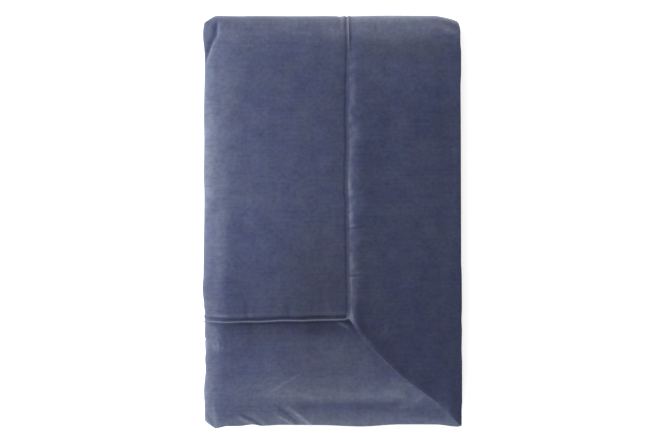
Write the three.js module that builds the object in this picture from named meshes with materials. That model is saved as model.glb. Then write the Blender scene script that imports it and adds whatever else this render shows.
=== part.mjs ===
// Padded velvet bedspread, folded and lying flat.
// A centre panel is framed by four border strips that meet in mitres. The open spread is folded
// back and forth, four layers across its width and then three thirds along its length, so that the
// foot corner of its border lies on top. Every piece is laid out flat and then carried through the
// same folds. Millimetres, +Z up, origin under the middle of the pile.
import * as THREE from "three";
import { mergeVertices } from "three/addons/utils/BufferGeometryUtils.js";

// The open bedspread
const SPREAD = { width: 2200, length: 2600 };
const BORDER = { side: 250, end: 234 };
const SEAM_GAP = 0.3;

// The padded cloth in the pile
const LOFT = 7.2;
const LAYER_PITCH = 8;
const LAYERS_ACROSS = 4;
const THIRD_GAP = 0.8;
const THIRD_PITCH = LAYERS_ACROSS * LAYER_PITCH + THIRD_GAP;

// The pile bends along these lines in from its sides and its top. All layers share them, so that
// layers this close together cannot cut into each other.
const SIDE_BENDS = { near: 24, far: 62 };
const TOP_BENDS = { near: 46, far: 92 };
const SIDE_LINES = [SIDE_BENDS.near, SIDE_BENDS.far];

// The hems and folds in order along the cloth: how far each stops short of the pile's edge, and
// how far in from that edge the cloth on both sides of it has grid lines
const ENDS_ACROSS = [
  { end: "right hem", inset: 0, lines: SIDE_LINES },
  { end: "upper left fold", inset: 0, lines: [15, 40, ...SIDE_LINES] },
  { end: "right fold", inset: 7, lines: SIDE_LINES },
  { end: "lower left fold", inset: 3, lines: SIDE_LINES },
  { end: "left hem", inset: 0, lines: SIDE_LINES },
];
const ENDS_ALONG = [
  { end: "foot hem", inset: 0, lines: [24, 62] },
  { end: "top fold", inset: 0, lines: [TOP_BENDS.near, 66, TOP_BENDS.far, 126] },
  { end: "foot fold", inset: 16, lines: [66] },
  { end: "head hem", inset: 19, lines: [TOP_BENDS.near, TOP_BENDS.far] },
];

// Share of the full loft at distances in from a sewn edge
const PANEL_SEAM = [
  { inward: 0, amount: 0.34 },
  { inward: 4, amount: 0.7 },
  { inward: 14, amount: 0.93 },
  { inward: 34, amount: 1 },
];
const SIDE_WELT = [
  { inward: 0, amount: 0.34 },
  { inward: 4, amount: 0.66 },
  { inward: 14, amount: 1.06 },
  { inward: 26, amount: 1.03 },
  { inward: 44, amount: 1 },
];
const END_WELT = [
  { inward: 0, amount: 0.34 },
  { inward: 6, amount: 0.92 },
  { inward: 11.5, amount: 0.4 },
  { inward: 24, amount: 0.68 },
  { inward: 60, amount: 1 },
];
const HEM = [
  { inward: 0, amount: 0.42 },
  { inward: 6, amount: 0.86 },
  { inward: SIDE_BENDS.near, amount: 1 },
];
const MITRE = [
  { inward: 0, amount: 0.72 },
  { inward: 10, amount: 1 },
];

// The settled pile: it sinks towards its left and top folds, by a share of its height
const LEFT_SINKING = [
  { inward: 0, amount: 0.155 },
  { inward: SIDE_BENDS.near, amount: 0.06 },
  { inward: SIDE_BENDS.far, amount: 0 },
];
const TOP_SINKING = [
  { inward: 0, amount: 0.1 },
  { inward: TOP_BENDS.near, amount: 0.03 },
  { inward: TOP_BENDS.far, amount: 0 },
];

// Its corners draw in and drop, and of that pull a waist is left at the side's near bend
const CORNERS = [
  { side: "left", end: "top", pullX: 10, pullY: 8, waist: 0.1, reach: 30, drop: 0.05 },
  { side: "right", end: "top", pullX: 4, pullY: 11, waist: 0.42, reach: 46, drop: 0.04 },
  { side: "left", end: "foot", pullX: 11, pullY: 7, waist: 0.08, reach: 30, drop: 0.02 },
];

// Its left edge stands out by these millimetres, measured down from the top, and less in the folds
// below
const WANDER_REACH = 110;
const LEFT_WANDER = [
  { inward: 0, amount: 0 },
  { inward: 45, amount: 2.5 },
  { inward: 110, amount: -1 },
  { inward: 400, amount: -0.6 },
  { inward: 510, amount: 1 },
  { inward: 592, amount: 4 },
  { inward: 650, amount: 1 },
  { inward: 735, amount: -3 },
  { inward: 785, amount: -2.4 },
  { inward: 830, amount: 0.5 },
];

// Its right hem leans out towards the foot, and its foot seam rises towards the right, by these
// millimetres from one end of the pile to the other
const LEAN = [
  { inward: 0, amount: 3 },
  { inward: BORDER.side, amount: 1 },
  { inward: 555, amount: 0 },
];
const TILT = [
  { inward: 0, amount: 0 },
  { inward: BORDER.end, amount: 11 },
  { inward: 840, amount: 0 },
];

// The tuck across the top left corner, from and to points measured in from the left and the top
const TUCK_DEPTH_REACH = 16;
const TUCK = [
  { from: { left: 2, top: 98 }, to: { left: 24, top: 50 }, half: 11, depth: 5 },
  { from: { left: 24, top: 50 }, to: { left: 28, top: 18 }, half: 11, depth: 5 },
];

// How finely the cloth follows its shape
const TURN_STEPS = { across: 4, along: 6 };
const LONGEST_STEP = { shown: 80, hidden: 170 };
const MITRE_REACH = 330;
const SMALLEST_STEP = 0.5;

// A table's amount at a distance inward, on straight lines between its rows.
function amountAt(table, inward) {
  const after = table.findIndex((row) => row.inward >= inward);
  if (after === 0) return table[0].amount;
  if (after < 0) return table.at(-1).amount;
  const [low, high] = [table[after - 1], table[after]];
  return THREE.MathUtils.mapLinear(inward, low.inward, high.inward, low.amount, high.amount);
}

// Falls from 1 at an edge to 0 at its reach, and levels out there.
function fadeFrom(distance, reach) {
  return Math.max(0, 1 - Math.max(0, distance) / reach) ** 2;
}

// Cloth that runs back and forth in flat layers joined by half-round turns.
class Pleats {
  constructor({ total, ends, pitch, thickness, heading, turnSteps }) {
    const layerCount = ends.length - 1;
    const isTurn = (i) => i > 0 && i < layerCount;
    const stops = ends.map(({ inset }, i) => inset + (isTurn(i) ? (pitch + thickness) / 2 : 0));
    const turnLength = (Math.PI * pitch) / 2;
    const stopTotal = stops.reduce((sum, stop, i) => sum + (isTurn(i) ? 2 * stop : stop), 0);
    this.reach = (total - (layerCount - 1) * turnLength + stopTotal) / layerCount;
    this.pitch = pitch;
    this.layers = [];
    this.lines = [];
    let start = 0;
    for (let i = 0; i < layerCount; i++) {
      const direction = i % 2 ? -heading : heading;
      const length = this.reach - stops[i] - stops[i + 1];
      this.layers.push({ start, length, direction, from: direction * (stops[i] - this.reach / 2) });
      this.lines.push(...ends[i].lines.map((line) => start + line - stops[i]));
      start += length;
      this.lines.push(...ends[i + 1].lines.map((line) => start - line + stops[i + 1]));
      if (isTurn(i + 1)) {
        for (let k = 0; k <= turnSteps; k++) this.lines.push(start + (turnLength * k) / turnSteps);
        start += turnLength;
      }
    }
  }

  // Where a point lies at a distance along the cloth and an offset off its middle, face side up.
  at(distance, offset) {
    const i = Math.max(0, this.layers.findLastIndex(({ start }) => start <= distance));
    const { start, length, direction, from } = this.layers[i];
    const faceUp = i % 2 ? -1 : 1;
    const past = distance - start - length;
    if (past <= 0) {
      const run = from + direction * (distance - start);
      return { run, height: faceUp * offset - i * this.pitch };
    }
    const angle = past / (this.pitch / 2);
    const radius = this.pitch / 2 + faceUp * offset;
    const run = from + direction * (length + radius * Math.sin(angle));
    return { run, height: radius * Math.cos(angle) - (i + 0.5) * this.pitch };
  }

  // Grid lines from one edge of a piece to the other, at its sewn profile, the folds and between.
  gridLines(from, to, profileSteps) {
    const edges = profileSteps.flatMap((step) => [from + step, to - step]);
    const fixed = [...edges, ...this.lines].filter((line) => line >= from && line <= to);
    fixed.sort((a, b) => a - b);
    const lines = [fixed[0]];
    for (const next of fixed.slice(1)) {
      const last = lines.at(-1);
      if (next - last < SMALLEST_STEP) continue;
      const isShown = next <= this.layers[0].length;
      const parts = Math.ceil((next - last) / (isShown ? LONGEST_STEP.shown : LONGEST_STEP.hidden));
      for (let k = 1; k <= parts; k++) lines.push(last + ((next - last) * k) / parts);
    }
    return lines;
  }
}

const across = new Pleats({
  total: SPREAD.width,
  ends: ENDS_ACROSS,
  pitch: LAYER_PITCH,
  thickness: LOFT,
  heading: -1,
  turnSteps: TURN_STEPS.across,
});
const stackThickness = (LAYERS_ACROSS - 1) * LAYER_PITCH + LOFT;
const along = new Pleats({
  total: SPREAD.length,
  ends: ENDS_ALONG,
  pitch: THIRD_PITCH,
  thickness: stackThickness,
  heading: 1,
  turnSteps: TURN_STEPS.along,
});
const pileHeight = (along.layers.length - 1) * THIRD_PITCH + stackThickness;

// Folds a point of the open spread: across its width first, and then the stack along its length.
function fold(fromRightHem, fromFootHem, offset) {
  const layer = across.at(fromRightHem, offset);
  const third = along.at(fromFootHem, layer.height + ((LAYERS_ACROSS - 1) * LAYER_PITCH) / 2);
  return new THREE.Vector3(layer.run, third.run, third.height + pileHeight - stackThickness / 2);
}

// A point's distance in from each edge of the pile.
function inwardFrom(point) {
  return {
    left: across.reach / 2 + point.x,
    right: across.reach / 2 - point.x,
    foot: along.reach / 2 + point.y,
    top: along.reach / 2 - point.y,
  };
}

// How far the tuck presses a point down, less and less beneath the top of the pile.
function tuckDrop(point) {
  const inward = inwardFrom(point);
  const nearTop = fadeFrom(pileHeight - point.z, TUCK_DEPTH_REACH);
  const drops = TUCK.map(({ from, to, half, depth }) => {
    const start = new THREE.Vector2(from.left, from.top);
    const line = new THREE.Vector2(to.left, to.top).sub(start);
    const place = new THREE.Vector2(inward.left, inward.top).sub(start);
    const share = THREE.MathUtils.clamp(place.dot(line) / line.lengthSq(), 0, 1);
    const away = place.distanceTo(line.multiplyScalar(share));
    return depth * Math.exp(-((away / half) ** 2));
  });
  return nearTop * Math.max(...drops);
}

// Gives the even stack the shape of a settled pile. Each step keeps the layers in their order.
function settle(point) {
  point.z -= tuckDrop(point);
  const even = inwardFrom(point);
  const depth = pileHeight - point.z;
  point.z *= 1 - amountAt(LEFT_SINKING, even.left) - amountAt(TOP_SINKING, even.top);
  for (const { side, end, pullX, pullY, waist, reach, drop } of CORNERS) {
    const fromSide = [
      { inward: 0, amount: 1 },
      { inward: SIDE_BENDS.near, amount: waist },
      { inward: SIDE_BENDS.far, amount: 0 },
    ];
    const share = amountAt(fromSide, even[side]) * fadeFrom(even[end], reach);
    point.x += side === "left" ? pullX * share : -pullX * share;
    point.y += end === "foot" ? pullY * share : -pullY * share;
    point.z *= 1 - drop * share;
  }
  const inFoldsBelow = Math.cos((2 * Math.PI * depth) / (4 * THIRD_PITCH));
  point.x -= amountAt(LEFT_WANDER, even.top) * inFoldsBelow * fadeFrom(even.left, WANDER_REACH);
  point.x -= amountAt(LEAN, even.right) * (point.y / along.reach);
  point.y += amountAt(TILT, even.foot) * (point.x / across.reach);
  return point;
}

// One padded piece: a flat box of grid lines, laid out on the open spread and folded with it.
function paddedPiece(name, colour, columns, rows, layOut) {
  const geometry = new THREE.BoxGeometry(1, 1, 1, columns.length - 1, rows.length - 1, 1);
  geometry.deleteAttribute("normal");
  geometry.deleteAttribute("uv");
  const points = geometry.getAttribute("position");
  for (let i = 0; i < points.count; i++) {
    const column = columns[Math.round((0.5 - points.getX(i)) * (columns.length - 1))];
    const row = rows[Math.round((0.5 + points.getY(i)) * (rows.length - 1))];
    const { fromRightHem, fromFootHem, loft } = layOut(column, row);
    const { x, y, z } = settle(fold(fromRightHem, fromFootHem, points.getZ(i) * loft));
    points.setXYZ(i, x, y, z);
  }
  const merged = mergeVertices(geometry);
  merged.computeVertexNormals();
  const velvet = new THREE.MeshStandardMaterial({ color: colour, roughness: 0.9, metalness: 0 });
  const piece = new THREE.Mesh(merged, velvet);
  piece.name = name;
  return piece;
}

// The centre panel, puffed up between the four seams that frame it.
function centrePanel(name, colour) {
  const edge = { side: BORDER.side + SEAM_GAP / 2, end: BORDER.end + SEAM_GAP / 2 };
  const steps = PANEL_SEAM.map(({ inward }) => inward);
  const columns = across.gridLines(edge.side, SPREAD.width - edge.side, steps);
  const rows = along.gridLines(edge.end, SPREAD.length - edge.end, steps);
  const layOut = (fromRightHem, fromFootHem) => {
    const fromSide = Math.min(fromRightHem, SPREAD.width - fromRightHem) - edge.side;
    const fromEnd = Math.min(fromFootHem, SPREAD.length - fromFootHem) - edge.end;
    const loft = LOFT * amountAt(PANEL_SEAM, fromSide) * amountAt(PANEL_SEAM, fromEnd);
    return { fromRightHem, fromFootHem, loft };
  };
  return paddedPiece(name, colour, columns, rows, layOut);
}

// A border strip along one edge of the open spread, hemmed outside, welted along its seam and
// mitred at both ends, where its lines slide so that they stop on the mitre.
function borderStrip(name, colour, edge) {
  const isSide = edge === "right" || edge === "left";
  const isFar = edge === "left" || edge === "head";
  const width = (isSide ? BORDER.side : BORDER.end) - SEAM_GAP / 2;
  const slope = isSide ? BORDER.end / BORDER.side : BORDER.side / BORDER.end;
  const [pleats, length, span] = isSide
    ? [along, SPREAD.length, SPREAD.width]
    : [across, SPREAD.width, SPREAD.length];

  const mitreSteps = MITRE.map(({ inward }) => inward);
  const lengthLines = pleats.gridLines(0, length, mitreSteps);
  const welt = isSide ? SIDE_WELT : END_WELT;
  const hemLines = [...HEM.map(({ inward }) => inward), SIDE_BENDS.far];
  const weltLines = welt.map(({ inward }) => width - inward).reverse();
  const nearLines = [...hemLines, ...weltLines];
  const widthLines = isFar ? nearLines.map((line) => span - line).reverse() : nearLines;

  const layOut = (widthPlace, lengthPlace) => {
    const fromHem = isFar ? span - widthPlace : widthPlace;
    const inset = fromHem * slope + (SEAM_GAP / 2) * Math.hypot(1, slope);
    const toEnd = Math.min(lengthPlace, length - lengthPlace);
    const slidToEnd = toEnd < MITRE_REACH ? inset + toEnd * (1 - inset / MITRE_REACH) : toEnd;
    const slid = lengthPlace < length / 2 ? slidToEnd : length - slidToEnd;
    const loft = LOFT
      * amountAt(HEM, fromHem)
      * amountAt(welt, width - fromHem)
      * amountAt(MITRE, slidToEnd - inset);
    return isSide
      ? { fromRightHem: widthPlace, fromFootHem: slid, loft }
      : { fromRightHem: slid, fromFootHem: widthPlace, loft };
  };
  return isSide
    ? paddedPiece(name, colour, widthLines, lengthLines, layOut)
    : paddedPiece(name, colour, lengthLines, widthLines, (column, row) => layOut(row, column));
}

// The folded pile, set down with the middle of its underside at the origin.
const pile = new THREE.Group();
pile.add(
  centrePanel("centre_panel", 0x4d5471),
  borderStrip("border_right", 0x3f455e, "right"),
  borderStrip("border_left", 0x3f455e, "left"),
  borderStrip("border_foot", 0x515870, "foot"),
  borderStrip("border_head", 0x515870, "head"),
);
const box = new THREE.Box3().setFromObject(pile);
const middle = box.getCenter(new THREE.Vector3());
pile.position.set(-middle.x, -middle.y, -box.min.z);

const bedspread = new THREE.Group();
bedspread.add(pile);

export default bedspread;
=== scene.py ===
"""A padded velvet bedspread, folded into a flat pile, seen from straight above.

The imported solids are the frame. Each sewn piece is laid out flat, puffed up between its seams and
carried through the same folds as its solid, with finer seams, creases and velvet. Lengths in the
tables are millimetres in the row frame, and every mesh is metres.
"""

import math

import bpy
import numpy as np
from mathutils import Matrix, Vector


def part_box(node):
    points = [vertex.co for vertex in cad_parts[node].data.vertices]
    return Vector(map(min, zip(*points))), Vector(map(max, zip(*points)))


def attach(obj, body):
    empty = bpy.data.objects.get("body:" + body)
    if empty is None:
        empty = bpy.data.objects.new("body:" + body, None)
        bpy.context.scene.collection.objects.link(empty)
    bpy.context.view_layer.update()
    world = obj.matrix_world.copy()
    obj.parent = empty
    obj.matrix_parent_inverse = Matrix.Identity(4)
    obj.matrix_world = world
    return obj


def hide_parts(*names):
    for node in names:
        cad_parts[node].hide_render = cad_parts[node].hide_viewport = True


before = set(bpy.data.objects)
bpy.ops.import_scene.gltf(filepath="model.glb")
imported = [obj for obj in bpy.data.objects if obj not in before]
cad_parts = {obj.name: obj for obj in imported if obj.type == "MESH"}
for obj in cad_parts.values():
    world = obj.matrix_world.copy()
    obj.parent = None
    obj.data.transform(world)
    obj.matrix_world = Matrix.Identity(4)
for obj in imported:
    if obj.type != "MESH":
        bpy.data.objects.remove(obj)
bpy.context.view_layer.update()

# Centre panel
# The padded field of the bedspread, cut as one rectangle of velvet with its filling behind it.
# It is sewn to the border on all four sides, so it puffs up between the seams, and it is folded
# with them: four layers across, then three thirds along.
SPREAD_WIDTH = 2200.0
SPREAD_LENGTH = 2600.0
SIDE_BORDER = 250.0
END_BORDER = 234.0
SEAM_GAP = 0.12
LOFT = 7.2
LAYER_GAP = 0.8
LAYER_PITCH = LOFT + LAYER_GAP
LAYERS = 4
STACK = (LAYERS - 1) * LAYER_PITCH + LOFT
THIRD_PITCH = LAYERS * LAYER_PITCH + LAYER_GAP
PILE_HEIGHT = 2 * THIRD_PITCH + STACK

# Grid lines lie close beside the ends and folds of the layer that shows, and far apart where the
# cloth is hidden. Each reach is the length of cloth from a fold that its step covers.
FINE_REACH = 48
FINE_STEP = 1.7
CLOSE_REACH = 110
CLOSE_STEP = 3.4
HIDDEN_REACH = 90
HIDDEN_STEP = 15.0
HIDDEN_MIDDLE_STEP = 42.0
CLOSEST_LINES = 0.45


class Pleats:
    """Cloth that runs back and forth in flat layers joined by half-round turns."""

    def __init__(self, total, insets, pitch, thickness, heading):
        last = len(insets) - 1
        bulge = (pitch + thickness) / 2
        stops = [inset + bulge * (0 < i < last) for i, inset in enumerate(insets)]
        self.turn = math.pi * pitch / 2
        self.pitch = pitch
        doubled = sum(stop * (1 + (0 < i < last)) for i, stop in enumerate(stops))
        self.reach = (total - (last - 1) * self.turn + doubled) / last
        self.lengths = np.array([self.reach - stops[i] - stops[i + 1] for i in range(last)])
        self.starts = np.concatenate([[0], np.cumsum(self.lengths + self.turn)[:-1]])
        self.directions = np.array([heading * (-1) ** i for i in range(last)])
        self.froms = self.directions * (np.array(stops[:-1]) - self.reach / 2)

    def at(self, place, offset):
        """Run and height of points at a place along the cloth and an offset off its middle."""
        layer = np.clip(np.searchsorted(self.starts, place, side="right") - 1, 0, len(self.starts) - 1)
        face_up = np.where(layer % 2, -1.0, 1.0)
        gone = place - self.starts[layer]
        past = np.maximum(gone - self.lengths[layer], 0)
        angle = past / (self.pitch / 2)
        radius = self.pitch / 2 + face_up * offset
        straight = np.minimum(gone, self.lengths[layer])
        run = self.froms[layer] + self.directions[layer] * (straight + radius * np.sin(angle))
        height = radius * np.cos(angle) - (layer + 0.5) * self.pitch
        return run, height

    def lines(self, start, end, seam_steps, shown_step, turn_steps):
        """Places of grid lines: close at seams and folds, fine in the layer that shows."""
        marks = []
        for i, (begin, length) in enumerate(zip(self.starts, self.lengths)):
            if i == 0:
                fine = np.arange(0, FINE_REACH, FINE_STEP)
                near = np.concatenate([fine, np.arange(FINE_REACH, CLOSE_REACH, CLOSE_STEP)])
                middle = np.arange(CLOSE_REACH, length - CLOSE_REACH, shown_step)
            else:
                near = np.arange(0, HIDDEN_REACH, HIDDEN_STEP)
                middle = np.arange(HIDDEN_REACH, length - HIDDEN_REACH, HIDDEN_MIDDLE_STEP)
            marks += [begin + near, begin + length - near, begin + middle]
            if i + 1 < len(self.starts):
                marks.append(begin + length + np.linspace(0, self.turn, turn_steps + 1))
        marks = np.sort(np.concatenate(marks))
        marks = marks[(marks > start + seam_steps[-1]) & (marks < end - seam_steps[-1])]
        marks = np.concatenate([start + seam_steps, marks, end - seam_steps[::-1]])
        return marks[np.concatenate([[True], np.diff(marks) > CLOSEST_LINES])]


# How far each hem and fold stays inside the pile's outline, in order from the right and foot hems
ACROSS_INSETS = [0, 0, 7, 3, 0]
ALONG_INSETS = [0, 0, 16, 19]
across = Pleats(SPREAD_WIDTH, ACROSS_INSETS, LAYER_PITCH, LOFT, -1)
along = Pleats(SPREAD_LENGTH, ALONG_INSETS, THIRD_PITCH, STACK, 1)

# The right hem leans out towards the foot, and the foot seam rises towards the right.
LEAN = ([0, SIDE_BORDER, 555], [3, 1, 0])
TILT = ([0, END_BORDER, 840], [0, 11, 0])

# The foot hem and the right hem of the solids set where the folded cloth lies.
foot_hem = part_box("border_foot")[0].y * 1000
right_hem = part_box("border_right")[1].x * 1000
SHIFT_X = right_hem - (across.reach + LEAN[1][0]) / 2
SHIFT_Y = foot_hem + along.reach / 2
SEAM_X = across.reach / 2 - SIDE_BORDER
SEAM_Y = END_BORDER - along.reach / 2


def fading(distance, reach, power=2.0):
    """1 at an edge, 0 at its reach and beyond, level there."""
    return np.clip(1 - np.maximum(distance, 0) / reach, 0, 1) ** power


def dying(distance, rule):
    """A rule's share at an edge, dying away with distance over the rule's reach."""
    share, reach = rule
    return share * np.exp(-distance / reach)


def bump(distance, place, half):
    """1 at a place, fading evenly to both sides."""
    return np.exp(-(((distance - place) / half) ** 2))


def eased(place, table):
    """Amounts at places, passing through a table's rows with level turns between them."""
    places, amounts = np.array(table[0], float), np.array(table[1], float)
    row = np.clip(np.searchsorted(places, place) - 1, 0, len(places) - 2)
    share = np.clip((place - places[row]) / (places[row + 1] - places[row]), 0, 1)
    return amounts[row] + (amounts[row + 1] - amounts[row]) * share**2 * (3 - 2 * share)


# Soft troughs pressed into the pile by hand, or ridges where the depth is negative. The widths are
# to the left and right of a walk along the path, and sinks is how far down the pile they reach.
CREASE_COLUMNS = ("path", "left", "right", "depth", "sinks")
TUCK = [
    ([(-274, 348), (-262, 378), (-250, 399), (-249, 418)], 9, 2.4, 5.5, 20),
    ([(-271, 350), (-258, 380), (-245, 402), (-244, 416)], 2.2, 6, -1.4, 26),
]
FOOT_CREASES = [
    ([(-60, -404), (-20, -404), (30, -400), (110, -404), (172, -389)], 11, 11, 1.5, 40),
    ([(-130, -380), (20, -386), (120, -381), (160, -372)], 15, 11, -1.3, 40),
    ([(156, -402), (178, -395), (200, -382)], 5, 5, -1.6, 30),
    ([(-92, -410), (-76, -421), (-62, -433), (-48, -444)], 4, 4, -2.2, 30),
    ([(-112, -410), (-94, -424), (-76, -440)], 3.5, 3.5, 2.2, 30),
    ([(-110, -430), (-88, -443)], 3, 3, -2.2, 30),
    ([(-162, -430), (-142, -442)], 3.5, 3.5, -1.4, 30),
    ([(-195, -432), (-172, -444)], 3, 3, -2.2, 30),
    ([(-192, -424), (-167, -438), (-148, -447)], 3, 3, 2.6, 30),
    ([(-259, -269), (-254, -278)], 2.5, 2.5, -1.2, 30),
    ([(-248, -267), (-247, -279)], 2.5, 2.5, -1.2, 30),
    ([(-236, -271), (-240, -279)], 2.5, 2.5, -0.9, 30),
    ([(-257, -408), (-251, -446)], 8, 4, -1.8, 30),
    ([(-275, -419), (-258, -437)], 4, 4, 2.0, 30),
]
TOP_CREASES = [
    ([(216, 420), (242, 417), (268, 408)], 4, 5, -2.2, 30),
    ([(214, 431), (244, 428), (270, 419)], 6, 4, 2.2, 30),
]
LEFT_CREASES = [
    ([(-247, 10), (-250, -70), (-246, -140)], 14, 10, -1.4, 30),
    ([(-262, 250), (-266, 150), (-262, 60)], 10, 12, -1.2, 30),
]
CREASES = TUCK + FOOT_CREASES + TOP_CREASES + LEFT_CREASES

# Puckers drawn by the seams' thread, each a short trough square to its seam: where it is along the
# seam, how far it runs into the cloth, its half width and its depth
PUCKER_COLUMNS = ("place", "into", "half", "depth")
PUCKERS_OVER_FOOT_SEAM = [
    (-232, 30, 9, -0.8),
    (-186, 46, 5, 1.0),
    (-172, 32, 5, -0.7),
    (-131, 42, 6, 0.9),
    (-97, 52, 6, 1.2),
    (-84, 36, 5, -0.6),
    (-52, 36, 6, 0.6),
    (-20, 46, 6, 1.0),
    (6, 36, 6, 0.7),
]
PUCKERS_BESIDE_SIDE_SEAM = [
    (338, 26, 5, 0.7),
    (268, 22, 6, 0.6),
    (176, 26, 5, 0.8),
    (88, 22, 5, 0.6),
    (-18, 26, 2.8, 1.5),
    (-60, 24, 6, 0.6),
    (-121, 26, 2.8, 1.6),
    (-160, 22, 6, 0.7),
]

# Patches painted lighter, or darker where the amount is negative: painted light and shade over soft
# folds, ridges and hollows, with a few light scuffs in the pile.
PATCH_COLUMNS = ("path", "half", "amount")
LIGHT_SHADE_AND_SCUFFS = [
    ([(-270, 352), (-264, 380), (-255, 398), (-250, 412)], 10, 0.07),
    ([(-240, 396), (-200, 398)], 14, 0.03),
    ([(-125, 403), (-35, 401)], 13, -0.025),
    ([(-214, 388), (-214, 258)], 14, 0.025),
    ([(-250, 340), (-250, 235)], 12, -0.022),
    ([(-255, 215), (-255, 115)], 9, 0.03),
    ([(-255, 35), (-255, -115)], 9, -0.045),
    ([(-212, 220), (-208, 80)], 10, 0.015),
    ([(-178, 340), (-178, 262)], 9, -0.028),
    ([(-180, 70), (-178, -40)], 9, 0.02),
    ([(-148, 280), (-148, 228)], 9, 0.02),
    ([(-116, 380), (-116, 235)], 9, -0.018),
    ([(-118, 180), (-124, -60), (-130, -150)], 11, 0.018),
    ([(-68, 340), (-68, 150)], 12, -0.017),
    ([(-66, 70), (-58, -150)], 12, -0.012),
    ([(-24, 265), (-22, 80)], 10, 0.018),
    ([(-247, 0), (-245, -120), (-240, -175)], 16, 0.035),
    ([(262, 395), (268, 345)], 14, -0.04),
    ([(230, 400), (230, 190)], 26, -0.045),
    ([(140, 380), (140, 40)], 36, 0.025),
    ([(-30, -250), (-30, -345)], 34, -0.02),
    ([(-160, -318), (-100, -318)], 26, 0.018),
    ([(-90, -372), (-50, -380)], 11, 0.025),
    ([(53, 270), (53, 110)], 10, 0.035),
    ([(38, 85), (39, 12)], 4, 0.05),
    ([(48, -13), (56, -13)], 2.5, 0.09),
    ([(48, -18), (58, -17)], 2.5, -0.08),
    ([(48, -23), (58, -22)], 2.5, 0.1),
    ([(48, -116), (54, -116)], 2.5, 0.08),
    ([(48, -121), (57, -120)], 2.5, -0.1),
    ([(48, -126), (54, -126)], 2.5, 0.08),
    ([(-257, -240), (-257, -265)], 14, 0.07),
    ([(-249, -348), (-246, -432)], 20, -0.055),
    ([(182, -413), (234, -430)], 10, -0.045),
    ([(-69, -247), (17, -246)], 10, -0.05),
    ([(-48, -238), (-2, -238)], 12, -0.07),
    ([(-257, -180), (-257, -203)], 12, 0.05),
    ([(-186, -182), (-186, -203)], 5, -0.04),
    ([(-98, -176), (-98, -203)], 6, -0.05),
    ([(-86, -182), (-86, -203)], 4, 0.03),
    ([(-14, -180), (-14, -203)], 6, 0.045),
    ([(-250, -236), (-244, -250)], 9, 0.05),
    ([(-240, -428), (-200, -428)], 10, -0.02),
    ([(-195, -432), (-172, -444)], 3, 0.1),
    ([(-110, -430), (-88, -443)], 3, 0.1),
    ([(-76, -421), (-62, -433), (-48, -444)], 3.5, 0.1),
    ([(118, -368), (160, -385)], 9, 0.06),
    ([(155, -147), (167, -148)], 2.5, 0.1),
    ([(-255, -274), (-229, -279)], 5, 0.05),
    ([(2, -213), (18, -212), (28, -208)], 3, 0.09),
    ([(19, -229), (29, -233)], 2.5, 0.34),
    ([(121, -226), (120, -240)], 4, 0.1),
    ([(78, -280), (90, -292)], 7, 0.025),
    ([(100, -300), (126, -326)], 8, -0.025),
    ([(134, -336), (148, -344)], 8, 0.025),
    ([(214, -400), (228, -414)], 8, -0.035),
    ([(-127, -367), (-104, -352), (-80, -339)], 2, 0.07),
    ([(48, -176), (66, -246)], 12, -0.05),
    ([(43, -214), (50, -230)], 4, 0.1),
]

# Where the colour turns greyer at the same lightness, or stronger where the amount is negative
GREY_PATCHES = [
    ([(-26, -100), (-30, -250), (0, -290), (-24, -350)], 95, 0.2),
    ([(90, 373), (230, 373)], 32, 0.25),
    ([(-220, 400), (-250, 300), (-250, -20)], 125, -0.08),
]

# The edges stand out unevenly: the left and right by distance from the top, the others from the left.
# The reaches are how far in, and how far down the pile, the cloth goes with its edge.
LEFT_EDGE_REACH = 110
RIGHT_EDGE_REACH = 50
END_EDGE_REACH = 60
EDGE_SINKS = 70
LEFT_EDGE = (
    [0, 42, 94, 224, 267, 340, 397, 560, 592, 628, 646, 655, 690, 712, 748, 765, 817, 852, 890],
    [1.5, 4.5, 0.2, 2.4, 1.5, 2.4, 1.2, 3.2, 5.2, 2.2, -0.2, 2.6, 1.6, -2.8, -0.4, -1.8, 2.2, 0.6, 0.6],
)
FOOT_EDGE = (
    [0, 24, 50, 73, 107, 124, 165, 250, 338, 424, 500, 548, 557],
    [4, 7.2, 1.8, 1.4, -2.4, 1, -1.2, -0.8, 2.4, -2.8, -2.6, 2.8, 0.6],
)
TOP_EDGE = (
    [0, 25, 73, 107, 142, 185, 228, 258, 286, 296, 306, 320, 337, 402, 477, 557],
    [0, 2.6, -1, 0.9, 0.4, -0.6, -0.4, 1, -0.4, -4.6, 3, 5.2, 3.6, 3.4, 2, 0.5],
)
RIGHT_EDGE = (
    [0, 60, 85, 125, 160, 540, 575, 640, 670, 690, 730, 760, 840, 862],
    [0, 0, 1.6, 1.6, 0, 0, 1.4, 1.4, 0.4, 1.2, 0.4, 1.4, 1.4, 0],
)

# The foot seam lies a little higher than the straight fold would leave it, by distance from the
# left, and the side seam sways, by distance from the top.
SEAM_RISE_REACH = 120
SEAM_SWAY_REACH = 70
SEAM_RISE = ([0, 15, 45, 120, 180, 215, 270, 310], [5.4, 4.6, 2.4, 2.9, 3.6, 2.6, 3.6, 3.6])
SEAM_SWAY = (
    [0, 34, 60, 85, 111, 150, 240, 285, 335, 390, 425, 520, 592, 645],
    [-2, -0.5, -0.3, 1.5, 1.5, 0.2, -0.9, 0, -1.8, -1.6, 0.2, 0.4, 2.6, 1.8],
)

# The mitre bows towards the foot, by the share of its length from the seam's corner.
MITRE_BOW = ([0, 0.2, 0.48, 0.82, 1], [0, 11.3, 12, 1, 0])
MITRE_BOW_REACH = 70.0
MITRE_LENGTH = math.hypot(SIDE_BORDER, END_BORDER)

# Corners that draw in and sink: the pull along both edges, how far it reaches along them, how soon
# it fades, and the share of the height lost
CORNER_COLUMNS = ("side", "end", "pull_x", "pull_y", "reach_x", "reach_y", "power", "drop")
CORNERS = [
    ("left", "top", 12.0, 7.8, 24.5, 15.6, 1.0, 0.05),
    ("right", "top", 5.0, 9.5, 56, 36, 1.3, 0.04),
    ("left", "foot", 10.5, 5.0, 24, 11, 1.0, 0.02),
]

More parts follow.
